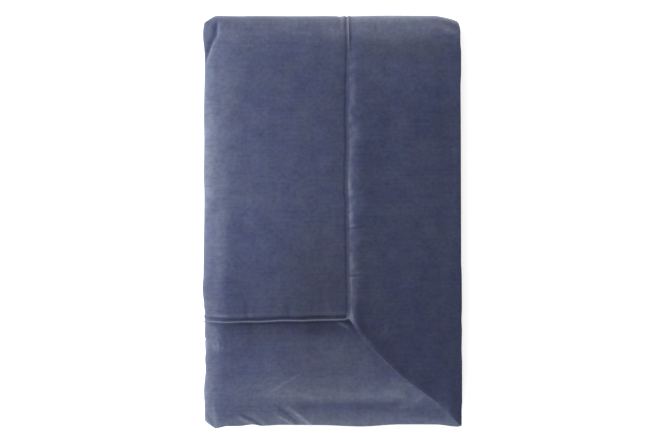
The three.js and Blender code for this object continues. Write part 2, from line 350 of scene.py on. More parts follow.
# Whole edges sink too: the share of the height lost at the edge, and how far in that reaches
EDGE_DROPS = [("left", 0.155, 62), ("top", 0.1, 92), ("foot", 0.012, 60)]

# A seam lies in a valley: its half width on the panel and on the border, its depth along the side
# and the foot, and how far down the pile it presses
VALLEY_ON_PANEL = 3.0
VALLEY_ON_BORDER = 15.0
SIDE_VALLEY = 0.8
FOOT_VALLEY = 1.6
SEAM_SINKS = 34

# The welt's turn draws the seam's corner round: its centre past the corner, its reach and its pull
WELT_TURN = 6
WELT_TURN_REACH = 15
WELT_PULL_X = 3.5
WELT_PULL_Y = 4.5

# Soft unevenness: its height, the size of its swells and the seed of its random turns. The loose
# layers inside the pile rise and fall in long swells, and their hems and folds stray in from the
# right side and the foot, layer by layer, while the top and the underside stay.
LAYER_SWELL = (4.5, 240, 14)
LAYER_STRAY = (6.0, 240, 15)
STRAY_REACH = 70
STRAY_BY_DEPTH = 7
TOP_SWELLS = [(0.8, 95, 11), (0.35, 42, 12)]
SEAM_WAVER = (1.1, 60, 13)
SEAM_WAVER_REACH = 40
WAVES = 9
WAVE_SPREAD = (0.8, 1.9)

# How far down the pile the thread's pull, puckers, brushed marks and the top's swells reach
THREAD_SINKS = 20
PUCKER_SINKS = 24
PATCH_SINKS = 40
SWELL_SINKS = 50

# How far a crease or mark runs on past the ends of its path, over what length a pucker sets in, and
# where the foot seam's puckers stop and the side seam's begin beside the side seam
PATH_END = 9.0
PUCKER_SETS_IN = 4
PUCKERS_STOP = 12
PUCKERS_BEGIN = 4

# Each millimetre that a crease presses the cloth down darkens it with painted shade, and each
# millimetre that a ridge stands up lightens it with a painted highlight.
CREASE_SHADE = 0.03


def beside_path(x, y, path, left, right, past=PATH_END):
    """1 on a path over the plan, fading to its left and right and past both of its ends."""
    nearest = np.full(x.shape, np.inf)
    for start, end in zip(path, path[1:]):
        length = math.dist(start, end)
        walk_x, walk_y = (end[0] - start[0]) / length, (end[1] - start[1]) / length
        gone = (x - start[0]) * walk_x + (y - start[1]) * walk_y
        side = (x - start[0]) * walk_y - (y - start[1]) * walk_x
        over = np.maximum(np.maximum(-gone, gone - length), 0)
        apart = (side / np.where(side < 0, left, right)) ** 2 + (over / past) ** 2
        nearest = np.minimum(nearest, apart)
    return np.exp(-nearest)


def pucker_depth(seam_place, from_seam, row):
    """Depth of one pucker at a place along a seam and a distance into the cloth from it."""
    shape = dict(zip(PUCKER_COLUMNS, row))
    across_it = bump(seam_place, shape["place"], shape["half"])
    into = np.clip(from_seam / PUCKER_SETS_IN, 0, 1) * bump(from_seam, 0, shape["into"])
    return np.where(from_seam > 0, shape["depth"] * across_it * into, 0)


def pressed_down(x, y, depth):
    """How far creases and puckers press the cloth down."""
    plan_x, plan_y = x + SHIFT_X, y + SHIFT_Y
    pressed = np.zeros_like(x)
    for row in CREASES:
        crease = dict(zip(CREASE_COLUMNS, row))
        share = beside_path(plan_x, plan_y, crease["path"], crease["left"], crease["right"])
        pressed = pressed + crease["depth"] * share * fading(depth, crease["sinks"])
    over_foot_seam = np.where(x < SEAM_X - PUCKERS_STOP, y - SEAM_Y, -1)
    for row in PUCKERS_OVER_FOOT_SEAM:
        pressed = pressed + pucker_depth(plan_x, over_foot_seam, row) * fading(depth, PUCKER_SINKS)
    beside_side_seam = np.where(y > SEAM_Y, x - SEAM_X - PUCKERS_BEGIN, -1)
    for row in PUCKERS_BESIDE_SIDE_SEAM:
        pressed = pressed + pucker_depth(plan_y, beside_side_seam, row) * fading(depth, PUCKER_SINKS)
    return pressed


def patchwork(x, y, depth, table):
    """The sum of a table's soft patches over the top of the pile."""
    total = np.zeros_like(x)
    for row in table:
        patch = dict(zip(PATCH_COLUMNS, row))
        half = patch["half"]
        share = beside_path(x + SHIFT_X, y + SHIFT_Y, patch["path"], half, half, max(half, PATH_END))
        total = total + patch["amount"] * share * fading(depth, PATCH_SINKS)
    return total


def soft_waves(x, y, wave):
    """An even, seamless unevenness of a wave's height, with swells about as wide as its size."""
    height, size, seed = wave
    rng = np.random.default_rng(seed)
    total = np.zeros_like(x)
    for _ in range(WAVES):
        angle = rng.uniform(0, math.pi)
        turn = rng.uniform(0, 2 * math.pi)
        pace = 2 * math.pi / (size * rng.uniform(*WAVE_SPREAD))
        total += np.sin((x * math.cos(angle) + y * math.sin(angle)) * pace + turn)
    return height * total / (WAVES / 2)


def settle(x, y, z):
    """The settled shape of the even stack, layers in order, with its painted light, shade and scuffs and
    how much greyer it is.
    """
    left, right = across.reach / 2 + x, across.reach / 2 - x
    foot, top = along.reach / 2 + y, along.reach / 2 - y
    edges = {"left": left, "right": right, "foot": foot, "top": top}
    depth = PILE_HEIGHT - z
    plan_x, plan_y = x + SHIFT_X, y + SHIFT_Y
    inside = np.sin(math.pi * np.clip(depth / PILE_HEIGHT, 0, 1))
    pressed = pressed_down(x, y, depth)
    # Creases add painted shade in their troughs and painted highlights on their ridges.
    shading_and_scuffs = patchwork(x, y, depth, LIGHT_SHADE_AND_SCUFFS) - CREASE_SHADE * pressed
    greyed = patchwork(x, y, depth, GREY_PATCHES)
    z = z + inside * soft_waves(plan_x, plan_y, LAYER_SWELL) - pressed
    for wave in TOP_SWELLS:
        z = z + soft_waves(plan_x, plan_y, wave) * fading(depth, SWELL_SINKS)

    # The seam lies in a valley, and its corner is drawn round by the turned welt.
    past_seam = np.maximum(x - SEAM_X, SEAM_Y - y)
    valley_half = np.where(past_seam < 0, VALLEY_ON_PANEL, VALLEY_ON_BORDER)
    valley = np.where(x - SEAM_X > SEAM_Y - y, SIDE_VALLEY, FOOT_VALLEY)
    z = z - valley * bump(past_seam, 0, valley_half) * fading(depth, SEAM_SINKS)
    from_turn = np.hypot(x - SEAM_X - WELT_TURN, y - SEAM_Y + WELT_TURN)
    rounding = fading(from_turn, WELT_TURN_REACH) * fading(depth, THREAD_SINKS)
    waver = soft_waves(plan_x, plan_y, SEAM_WAVER) * fading(depth, THREAD_SINKS)
    waver = waver * fading(np.abs(past_seam), SEAM_WAVER_REACH)

    z = z * (1 - sum(share * fading(edges[edge], reach) for edge, share, reach in EDGE_DROPS))
    for row in CORNERS:
        corner = dict(zip(CORNER_COLUMNS, row))
        cut = edges[corner["side"]] / corner["reach_x"] + edges[corner["end"]] / corner["reach_y"]
        share = fading(cut, 1, corner["power"])
        x = x + corner["pull_x"] * share * (1 if corner["side"] == "left" else -1)
        y = y + corner["pull_y"] * share * (1 if corner["end"] == "foot" else -1)
        z = z * (1 - corner["drop"] * share)
    below = np.cos(2 * math.pi * depth / (4 * THIRD_PITCH))
    x = x - eased(top, LEFT_EDGE) * below * fading(left, LEFT_EDGE_REACH)
    x = x + eased(top, RIGHT_EDGE) * fading(right, RIGHT_EDGE_REACH) * fading(depth, EDGE_SINKS)
    y = y - eased(left, FOOT_EDGE) * fading(foot, END_EDGE_REACH) * fading(depth, EDGE_SINKS)
    y = y + eased(left, TOP_EDGE) * fading(top, END_EDGE_REACH) * fading(depth, EDGE_SINKS)
    stray = LAYER_STRAY[0] + soft_waves(plan_x + plan_y, STRAY_BY_DEPTH * depth, LAYER_STRAY)
    x = x - inside * stray / 2 * fading(right, STRAY_REACH)
    y = y + inside * stray / 2 * fading(foot, STRAY_REACH)
    off_foot_seam, off_side_seam = np.abs(y - SEAM_Y), np.abs(x - SEAM_X)
    y = y + eased(left, SEAM_RISE) * fading(off_foot_seam, SEAM_RISE_REACH) * fading(depth, SEAM_SINKS)
    x = x + eased(top, SEAM_SWAY) * fading(off_side_seam, SEAM_SWAY_REACH) * fading(depth, SEAM_SINKS)

    # The mitre runs from the seam's corner to the outer one, and the cloth beside it bows with it.
    mitre_x, mitre_y = SIDE_BORDER / MITRE_LENGTH, END_BORDER / MITRE_LENGTH
    gone = ((x - SEAM_X) * mitre_x - (y - SEAM_Y) * mitre_y) / MITRE_LENGTH
    off_mitre = (x - SEAM_X) * mitre_y + (y - SEAM_Y) * mitre_x
    bow = eased(gone, MITRE_BOW) * bump(off_mitre, 0, MITRE_BOW_REACH) * fading(depth, SEAM_SINKS)
    x, y = x - bow * mitre_y, y - bow * mitre_x

    x = x - np.interp(right, *LEAN) * y / along.reach - WELT_PULL_X * rounding + waver
    y = y + np.interp(foot, *TILT) * x / across.reach + WELT_PULL_Y * rounding + waver
    return x + SHIFT_X, y + SHIFT_Y, z, shading_and_scuffs, greyed


def folded(from_right_hem, from_foot_hem, offset):
    """Where a point of the open spread lies in the pile, with its painted light, shade and scuffs and
    how much greyer it is.
    """
    run, height = across.at(from_right_hem, offset)
    reach, lift = along.at(from_foot_hem, height + (LAYERS - 1) * LAYER_PITCH / 2)
    return settle(run, reach, lift + PILE_HEIGHT - STACK / 2)


def cloth_mesh(name, columns, rows, lay_out):
    """A closed padded piece on a grid of the open spread, with its flat cut as UV map in metres."""
    u, v = np.meshgrid(columns, rows, indexing="ij")
    # Besides the loft, the layout gives each point's tone with its painted light and shade.
    u, v, loft, tone_and_shade = lay_out(u, v)
    sides, tones_and_shades, grey_amounts = [], [], []
    for face in (0.5, -0.5):
        x, y, z, shading_and_scuffs, greyed = folded(u.ravel(), v.ravel(), (face * loft).ravel())
        sides.append(np.column_stack([x, y, z]) * 0.001)
        tones_and_shades.append(tone_and_shade.ravel() + shading_and_scuffs)
        grey_amounts.append(greyed)
    points = np.concatenate(sides)
    count = u.size
    grid = np.arange(count).reshape(u.shape)
    corner = (grid[:-1, :-1], grid[:-1, 1:], grid[1:, 1:], grid[1:, :-1])
    upper = np.stack([part.ravel() for part in corner], axis=1)
    lower = upper[:, ::-1] + count
    rim = np.concatenate([grid[:, 0], grid[-1, 1:], grid[-2::-1, -1], grid[0, -2::-1]])
    wall = np.stack([rim[:-1], rim[1:], rim[1:] + count, rim[:-1] + count], axis=1)
    faces = np.concatenate([upper, lower, wall])

    mesh = bpy.data.meshes.new(name)
    mesh.from_pydata(points, [], faces.tolist())
    mesh.shade_smooth()
    # The cut edges stay crisp, so that no light from the walls of a seam bleeds onto its faces.
    on_rim = np.zeros(2 * count, bool)
    on_rim[np.concatenate([rim, rim + count])] = True
    ends = np.empty(2 * len(mesh.edges), np.int32)
    mesh.edges.foreach_get("vertices", ends)
    ends = ends.reshape(-1, 2)
    crisp = on_rim[ends].all(axis=1) & ((ends[:, 0] < count) == (ends[:, 1] < count))
    mesh.attributes.new("sharp_edge", "BOOLEAN", "EDGE").data.foreach_set("value", crisp)
    flat = np.column_stack([np.tile(u.ravel(), 2), np.tile(v.ravel(), 2)]) * 0.001
    uv = mesh.uv_layers.new(name="cut")
    uv.data.foreach_set("uv", flat[faces.ravel()].astype(np.float32).ravel())
    for key, values in (("tone_and_shade", tones_and_shades), ("greyed", grey_amounts)):
        layer = mesh.attributes.new(key, "FLOAT", "POINT")
        layer.data.foreach_set("value", np.concatenate(values).astype(np.float32))
    mesh.update()
    piece = bpy.data.objects.new(name, mesh)
    bpy.context.scene.collection.objects.link(piece)
    return piece


def linear(hex_colour, alpha=1.0):
    """An sRGB hex colour as linear RGBA."""
    channels = [int(hex_colour[i : i + 2], 16) / 255 for i in (1, 3, 5)]
    bent = [c / 12.92 if c <= 0.04045 else ((c + 0.055) / 1.055) ** 2.4 for c in channels]
    return (*bent, alpha)


def add_node(tree, kind, links=(), **settings):
    """Adds a node with its settings and input links, each from an output socket or a plain value."""
    node = tree.nodes.new(kind)
    for key, value in settings.items():
        setattr(node, key, value)
    for socket, source in dict(links).items():
        if isinstance(source, bpy.types.NodeSocket):
            tree.links.new(source, node.inputs[socket])
        else:
            node.inputs[socket].default_value = source
    return node


# Cotton velvet: a short upright pile that swallows light when seen from above and glows where the
# cloth turns away. Brushed one way it looks lighter, the other way darker. Each piece keeps that lie
# of the pile in a per-point value together with painted light and shade: lighter rims at the folds
# and hems, dark seam ditches, grooves and crease troughs, and highlights on welts, rolls and ridges.
# A second value says how much greyer its colour is.
velvet = bpy.data.materials.new("cotton_velvet")
velvet.use_nodes = True
tree = velvet.node_tree
tree.nodes.clear()
cut = add_node(tree, "ShaderNodeUVMap", uv_map="cut").outputs["UV"]
# The first attribute holds tone with painted light and shade, the second how much greyer it turns.
tone_and_shade = add_node(tree, "ShaderNodeAttribute", attribute_name="tone_and_shade").outputs["Fac"]
greyed = add_node(tree, "ShaderNodeAttribute", attribute_name="greyed").outputs["Fac"]

# Weft rows show as fine lines across the cloth, drawn 5 mm apart because the real 1 mm rows
# would not show. They run on for about 110 mm before they fade.
rows_place = add_node(tree, "ShaderNodeMapping", {"Vector": cut, "Scale": (9, 200, 1)})
weft = add_node(
    tree, "ShaderNodeTexNoise", {"Vector": rows_place.outputs["Vector"], "Scale": 1.0, "Detail": 2.0}
)
# Brushed streaks follow the warp, about 35 mm wide and half a metre long.
streak_place = add_node(tree, "ShaderNodeMapping", {"Vector": cut, "Scale": (28, 2.2, 1)})
streaks = add_node(
    tree, "ShaderNodeTexNoise", {"Vector": streak_place.outputs["Vector"], "Scale": 1.0, "Detail": 3.0}
)
# Handling leaves patches about 30 mm and tufts about 9 mm across, and the pile a grain of 3 mm.
patches = add_node(tree, "ShaderNodeTexNoise", {"Vector": cut, "Scale": 34.0, "Detail": 1.0})
tufts = add_node(tree, "ShaderNodeTexNoise", {"Vector": cut, "Scale": 110.0, "Detail": 1.0})
grain = add_node(tree, "ShaderNodeTexNoise", {"Vector": cut, "Scale": 330.0, "Detail": 3.0})
# The dye took a little redder or bluer, and stronger or weaker, in patches about 40 mm across.
dye_patches = add_node(tree, "ShaderNodeTexNoise", {"Vector": cut, "Scale": 25.0, "Detail": 1.0})
dye_parts = add_node(tree, "ShaderNodeSeparateXYZ", {"Vector": dye_patches.outputs["Color"]})


def uneven(value, amount):
    """A noise value turned to a swing of plus or minus amount."""
    return add_node(
        tree,
        "ShaderNodeMapRange",
        {"Value": value, "From Min": 0.25, "From Max": 0.75, "To Min": -amount, "To Max": amount},
    ).outputs["Result"]


def plus(first, second):
    """The sum of two values or sockets."""
    return add_node(tree, "ShaderNodeMath", {0: first, 1: second}, operation="ADD").outputs["Value"]


TONE_SWINGS = ((weft, 0.07), (streaks, 0.055), (patches, 0.08), (tufts, 0.13), (grain, 0.145))
tone = 1.0
for texture, amount in TONE_SWINGS:
    tone = plus(tone, uneven(texture.outputs["Fac"], amount))
shade = add_node(tree, "ShaderNodeValToRGB", {"Fac": tone_and_shade})
ramp = shade.color_ramp
ramp.elements[0].position, ramp.elements[0].color = 0.0, linear("#161a31")
ramp.elements[1].position, ramp.elements[1].color = 1.0, linear("#878f9e")
middle = ramp.elements.new(0.5)
middle.color = linear("#414762")
# Where the second attribute is above nought the colour turns greyer and stays just as light. The
# mix's colour sockets are its seventh and eighth inputs.
grey = add_node(tree, "ShaderNodeRGBToBW", {"Color": shade.outputs["Color"]})
greyed_colour = add_node(
    tree,
    "ShaderNodeMix",
    {0: greyed, 6: shade.outputs["Color"], 7: grey.outputs["Val"]},
    data_type="RGBA",
    clamp_factor=False,
)
dyed = add_node(
    tree,
    "ShaderNodeHueSaturation",
    {
        "Color": greyed_colour.outputs[2],
        "Hue": plus(0.5, uneven(dye_parts.outputs["X"], 0.009)),
        "Saturation": plus(1.0, uneven(dye_parts.outputs["Y"], 0.08)),
        "Value": tone,
    },
)

pile_height = add_node(
    tree, "ShaderNodeMath", {0: grain.outputs["Fac"], 1: weft.outputs["Fac"]}, operation="ADD"
)
nub = add_node(
    tree,
    "ShaderNodeBump",
    {"Height": pile_height.outputs["Value"], "Strength": 0.25, "Distance": 0.0006},
)
# The sheen is turned down where the painted shade is darkest, in the seam ditches.
glow = add_node(
    tree,
    "ShaderNodeMapRange",
    {"Value": tone_and_shade, "From Min": 0.05, "From Max": 0.2, "To Min": 0.1, "To Max": 0.8},
)
skin = add_node(
    tree,
    "ShaderNodeBsdfPrincipled",
    {
        "Base Color": dyed.outputs["Color"],
        "Normal": nub.outputs["Normal"],
        "Roughness": 0.92,
        "IOR": 1.5,
        "Specular IOR Level": 0.1,
        "Sheen Weight": glow.outputs["Result"],
        "Sheen Roughness": 0.45,
        "Sheen Tint": linear("#cdd4e8"),
    },
)
add_node(tree, "ShaderNodeOutputMaterial", {"Surface": skin.outputs["BSDF"]})


# The panel's tone with painted light and shade over it: painted lighter towards the left fold where
# the cloth turns down, and painted darker towards the foot seam, by distance from the left fold and
# from the foot
PANEL_TONE_AND_LIGHT_ACROSS = (
    [0, 10, 23, 41, 58, 84, 145, 188, 231, 300],
    [0.66, 0.64, 0.585, 0.565, 0.525, 0.51, 0.485, 0.445, 0.385, 0.355],
)
PANEL_TONE_AND_LIGHT_ALONG = ([234, 300, 380, 480, 720, 811], [-0.09, -0.08, -0.025, 0.015, 0.01, 0.025])

# Over the top fold it evens out into a band of painted light: the share of this and the painted tone
# there by distance from the foot, and what it gains by distance from the left fold, painted lighter to
# the right as the light from the left falls off.
TOP_SHARE = ([770, 822, 848, 868, 905, 950], [0, 0.6, 0.95, 1, 1, 0])
TOP_FOLD_LIGHT = (
    [780, 830, 854, 866, 874, 876, 878, 881, 900],
    [0.5, 0.52, 0.565, 0.57, 0.56, 0.55, 0.515, 0.46, 0.38],
)
TOP_FOLD_LIGHT_ACROSS = ([110, 1110], [0, 0.2])

# Grid lines beside a seam by distance from it, the step between the panel's lines where it shows,
# and the steps round the fold of one layer and of the stack
SEAM_STEPS = np.array(
    [0, 0.5, 1.1, 1.8, 2.6, 3.4, 4.2, 5.0, 5.8, 6.6, 7.5, 8.5, 9.5, 10.5, 11.5, 12.7, 14.2, 16.0]
)
PANEL_STEP = 7.0
FOLD_STEPS = 9
STACK_FOLD_STEPS = 18

# The seams pinch the panel: the share of its loft lost at a seam, and how soon that dies away
SIDE_SEAM = SIDE_BORDER + SEAM_GAP / 2
END_SEAM = END_BORDER + SEAM_GAP / 2
SIDE_PINCH = (0.34, 2.4)
END_PINCH = (0.7, 3.2)
PANEL_PUFF = 1.03

# The end seams' painted shade is weak where the left fold turns down, and strong towards the mitre.
# The panel's edge there has a painted light rim and painted shade in its ditch, by distance from the
# left fold, and its side edge a faint painted light rim.
SEAM_SHARE = ([10, 50, 100, 300], [0, 0.75, 1, 1])
RIM_LIGHT = ([15, 30, 85, 120, 250, 280], [0.05, 0.1, 0.11, 0.06, 0.06, 0.09])
RIM_PLACE = ([80, 120], [5.5, 8])
RIM_HALF = 4
SIDE_RIM_LIGHT = 0.04
SIDE_RIM_HALF = 3
DITCH_SHADE = 0.22
DITCH_HALF = ([80, 120], [2.2, 2.7])
DITCH_SHARE = ([5, 25, 60, 100], [0.2, 0.8, 1, 1])
DITCH_WAVER = (0.8, 48, 21)


def off_left_folds(u):
    """Distance along the cloth from the nearer of the two folds at the left side of the pile."""
    first, second = (across.starts + across.lengths + across.turn / 2)[[0, 2]]
    return np.minimum(np.abs(u - first), np.abs(u - second))


def panel_layout(u, v):
    """Loft and tone of the panel with its painted light and shade, thinner and darker into its seams."""
    side = np.minimum(u, SPREAD_WIDTH - u) - SIDE_SEAM
    end = np.minimum(v, SPREAD_LENGTH - v) - END_SEAM
    sewn = (1 - dying(side, SIDE_PINCH)) * (PANEL_PUFF - dying(end, END_PINCH))
    from_fold = off_left_folds(u)
    panel_tone = np.interp(from_fold, *PANEL_TONE_AND_LIGHT_ACROSS) + np.interp(v, *PANEL_TONE_AND_LIGHT_ALONG)
    top_tone = np.interp(v, *TOP_FOLD_LIGHT) + np.interp(from_fold, *TOP_FOLD_LIGHT_ACROSS)
    panel_tone += np.interp(v, *TOP_SHARE) * (top_tone - panel_tone)
    # Painted light rims along the end and side seams, and painted shade in the end seam's ditch.
    rim = bump(end, np.interp(from_fold, *RIM_PLACE), RIM_HALF)
    panel_tone += np.interp(from_fold, *RIM_LIGHT) * rim
    panel_tone += SIDE_RIM_LIGHT * bump(side, 0, SIDE_RIM_HALF)
    ditch_half = np.interp(from_fold, *DITCH_HALF) + soft_waves(u, np.zeros_like(v), DITCH_WAVER)
    ditch = bump(end, 0, ditch_half) * np.interp(from_fold, *DITCH_SHARE)
    return u, v, LOFT * sewn, panel_tone - DITCH_SHADE * ditch


panel = cloth_mesh(
    "centre_panel_velvet",
    across.lines(SIDE_SEAM, SPREAD_WIDTH - SIDE_SEAM, SEAM_STEPS, PANEL_STEP, FOLD_STEPS),
    along.lines(END_SEAM, SPREAD_LENGTH - END_SEAM, SEAM_STEPS, PANEL_STEP, STACK_FOLD_STEPS),
    panel_layout,
)
panel.data.materials.append(velvet)
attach(panel, "root")
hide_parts("centre_panel")

# Border strips
# Four padded velvet strips frame the panel and meet in mitres at the spread's corners. Each is
# hemmed on its outer edge. At the ends the seam to the panel is pressed into a round welt with a
# groove beside it, and down the sides the strip rolls up from the seam.

# Grid lines beside a hem and a mitre by distance from them, the band of close lines beside a seam,
# and how far from the hem and the seam a strip's own step begins and ends
HEM_STEPS = np.array([0, 0.6, 1.3, 2.2, 3.4, 5.0, 7.0, 9.5, 12.5, 16.0])
MITRE_STEPS = HEM_STEPS[:6]
SEAM_BAND = 42
SEAM_BAND_STEP = 2.5
MIDDLE_FROM_HEM = 19
MIDDLE_TO_SEAM = 45

# A strip's lines slide onto the slope of its mitres over this length at both ends.
MITRE_REACH = 330.0

# A strip's thickness in shares of the loft. Pairs hold the share lost or gained at an edge and how
# soon that dies away. The side strips are rolled where they show, and welted from the top fold on.
HEM_PRESS = (0.55, 8)
HEM_EDGE_PRESS = (0.25, 1)
MITRE_PRESS = (0.2, 2)
WELT_PLACE = 7.2
WELT_HALF = 1.9
WELT_RISE = 0.64
GROOVE_PLACE = 11.8
GROOVE_PRESS = (0.66, 26)
ROLL_PLUMP = (0.08, 40)
ROLL_PINCH = (0.42, 7)
ROLL_WELT_RISE = 0.06
TOP_FOLD = along.lengths[0]
SIDE_WELT = ([TOP_FOLD - 70, TOP_FOLD - 20], [0, 1])

# The welt's crown has a painted highlight, and its groove and the ditch of the seam painted shade.
WELT_HIGHLIGHT = 0.73
CROWN_HALF = 1.5
GROOVE_HALF = 2.6
SIDE_CROWN_LIGHT = 0.08
SIDE_GROOVE_SHADE = -0.06
END_GROOVE_SHADE = -0.1
END_DITCH_SHADE = -0.07

# The roll beside a side seam has painted light too. That painted light is lumpy, standing in for the
# filling's lumps, and its crest carries a thin painted highlight, by distance from the foot.
ROLL_LIGHT = 0.55
ROLL_PLACE = 10.5
ROLL_INNER_HALF = 6.5
ROLL_HALF = ([350, 500, 670], [12, 14.5, 17])
ROLL_UNEVEN = (0.3, 40, 23)
ROLL_LUMPS = (0.06, 24, 22)
ROLL_LINE = ([330, 400, 460, 530, 600, 700], [0.04, 0.05, 0.08, 0.08, 0.04, 0.03])
ROLL_LINE_PLACE = 8.5
ROLL_LINE_HALF = 2.2

# The tone along the side strips from the foot, painted lighter over the top fold, and over the end
# strips from their hem, painted lighter at the hem and towards the left fold and painted darker towards
# the seam. The side strips' hems are painted a little lighter too.
SIDE_TONE_AND_LIGHT = (
    [0, 170, 250, 360, 690, 746, 811, 837, 854, 866, 871, 875, 878, 881, 900, 950],
    [0.23, 0.22, 0.22, 0.255, 0.305, 0.38, 0.43, 0.525, 0.585, 0.615, 0.655, 0.7, 0.64, 0.54, 0.48, 0.3],
)
END_TONE_AND_LIGHT = (
    [0, 14, 31, 44, 66, 96, 116, 140, 234],
    [0.66, 0.59, 0.54, 0.535, 0.565, 0.54, 0.505, 0.485, 0.48],
)
LEFT_FOLD_LIGHT = ([0, 14, 23, 32, 41, 60], [0.15, 0.08, 0.06, 0.03, 0.01, 0])
SEAM_PAINTED_SHADE = ([0, 17, 30, 43, 61, 90], [-0.3, -0.28, -0.175, -0.1, -0.05, 0])
HEM_LIGHT = 0.03
HEM_LIGHT_HALF = 10

# The side strips' edge is lighter beside the mitre, most near the panel, by distance from the hem,
# with a light patch near the outer corner. Both strips have painted shade beside the inner half of
# the mitre, and the end strips a thin painted highlight right at it.
MITRE_LIGHT = ([60, 165, 190, 225], [0.04, 0.04, 0.15, 0.15])
MITRE_EDGE = ([8, 12], [1, 0])
MITRE_END_LIGHT = (0.26, 24)
MITRE_END_PLACE = 32
MITRE_END_HALF = 12
MITRE_INNER = ([95, 135], [0, 1])
MITRE_INNER_HALF = 38
SIDE_INNER_SHADE = -0.05
END_INNER_SHADE = -0.06
END_MITRE_HIGHLIGHT = 0.09
END_MITRE_HALF = 4


def strip_loft(from_hem, to_seam, from_mitre, welted):
    """Thickness of a strip: thin at its hem and mitres, welted or rolled at its seam."""
    hem = 1 - dying(from_hem, HEM_PRESS) - dying(from_hem, HEM_EDGE_PRESS)
    welt = bump(to_seam, WELT_PLACE, WELT_HALF)
    beyond = np.maximum(to_seam - GROOVE_PLACE, 0)
    with_groove = 1 - dying(beyond, GROOVE_PRESS) + WELT_RISE * welt
    rolled = 1 + dying(to_seam, ROLL_PLUMP) - dying(to_seam, ROLL_PINCH) + ROLL_WELT_RISE * welt
    mitre = 1 - dying(from_mitre, MITRE_PRESS)
    return LOFT * hem * mitre * (welted * with_groove + (1 - welted) * rolled)


def inner_mitre(from_hem, from_mitre, half):
    """1 at the inner half of a mitre, fading away from it."""
    return np.interp(from_hem, *MITRE_INNER) * bump(from_mitre, 0, half)


def side_tone_and_light(run, from_hem, to_seam, from_mitre, welted):
    """Tone of a side strip with its painted light and shade: dark, with painted light on the roll or
    welt beside its seam.
    """
    strip_tone = np.interp(run, *SIDE_TONE_AND_LIGHT) + HEM_LIGHT * bump(from_hem, 0, HEM_LIGHT_HALF)
    strip_tone += SIDE_INNER_SHADE * inner_mitre(from_hem, from_mitre, MITRE_INNER_HALF)
    strip_tone += np.interp(from_hem, *MITRE_LIGHT) * np.interp(from_mitre, *MITRE_EDGE)
    strip_tone += dying(from_mitre, MITRE_END_LIGHT) * bump(from_hem, MITRE_END_PLACE, MITRE_END_HALF)
    outer_half = np.interp(run, *ROLL_HALF) * (1 + soft_waves(run, np.zeros_like(run), ROLL_UNEVEN))
    roll = bump(to_seam, ROLL_PLACE, np.where(to_seam < ROLL_PLACE, ROLL_INNER_HALF, outer_half))
    crest = np.interp(run, *ROLL_LINE) * bump(to_seam, ROLL_LINE_PLACE, ROLL_LINE_HALF)
    roll_tone = ROLL_LIGHT + soft_waves(run, to_seam, ROLL_LUMPS) + crest
    strip_tone += (1 - welted) * roll * (roll_tone - strip_tone)
    strip_tone += welted * SIDE_CROWN_LIGHT * bump(to_seam, WELT_PLACE, CROWN_HALF)
    return strip_tone + welted * SIDE_GROOVE_SHADE * bump(to_seam, GROOVE_PLACE, GROOVE_HALF)


def end_tone_and_light(run, from_hem, to_seam, from_mitre):
    """Tone of an end strip with its painted light and shade: light, with painted shade in the groove and
    ditch beside its welt.
    """
    from_fold = off_left_folds(run)
    strip_tone = np.interp(from_hem, *END_TONE_AND_LIGHT) + np.interp(from_fold, *LEFT_FOLD_LIGHT)
    seam_shade = np.interp(to_seam, *SEAM_PAINTED_SHADE) + END_DITCH_SHADE * bump(to_seam, 0, GROOVE_HALF)
    seam_shade += END_GROOVE_SHADE * bump(to_seam, GROOVE_PLACE, GROOVE_HALF)
    strip_tone += seam_shade * np.interp(from_fold, *SEAM_SHARE)
    strip_tone += bump(to_seam, WELT_PLACE, CROWN_HALF) * (WELT_HIGHLIGHT - strip_tone)
    strip_tone += END_MITRE_HIGHLIGHT * inner_mitre(from_hem, from_mitre, END_MITRE_HALF)
    return strip_tone + END_INNER_SHADE * inner_mitre(from_hem, from_mitre, MITRE_INNER_HALF)


def strip_layout(edge, width, slope, span, length):
    """Where a strip's grid lies on the open spread, with its ends slid onto the mitres."""

    def lay_out(u, v):
        beside = edge in ("right", "left")
        wide, run = (u, v) if beside else (v, u)
        from_hem = span - wide if edge in ("left", "head") else wide
        inset = from_hem * slope + SEAM_GAP / 2 * math.hypot(1, slope)
        to_end = np.minimum(run, length - run)
        slid = np.where(to_end < MITRE_REACH, inset + to_end * (1 - inset / MITRE_REACH), to_end)
        moved = np.where(run < length / 2, slid, length - slid)
        to_seam = np.maximum(width - from_hem, 0)
        from_mitre = slid - inset
        if beside:
            welted = np.interp(moved, *SIDE_WELT)
            loft = strip_loft(from_hem, to_seam, from_mitre, welted)
            return u, moved, loft, side_tone_and_light(moved, from_hem, to_seam, from_mitre, welted)
        loft = strip_loft(from_hem, to_seam, from_mitre, 1.0)
        return moved, v, loft, end_tone_and_light(moved, from_hem, to_seam, from_mitre)

    return lay_out


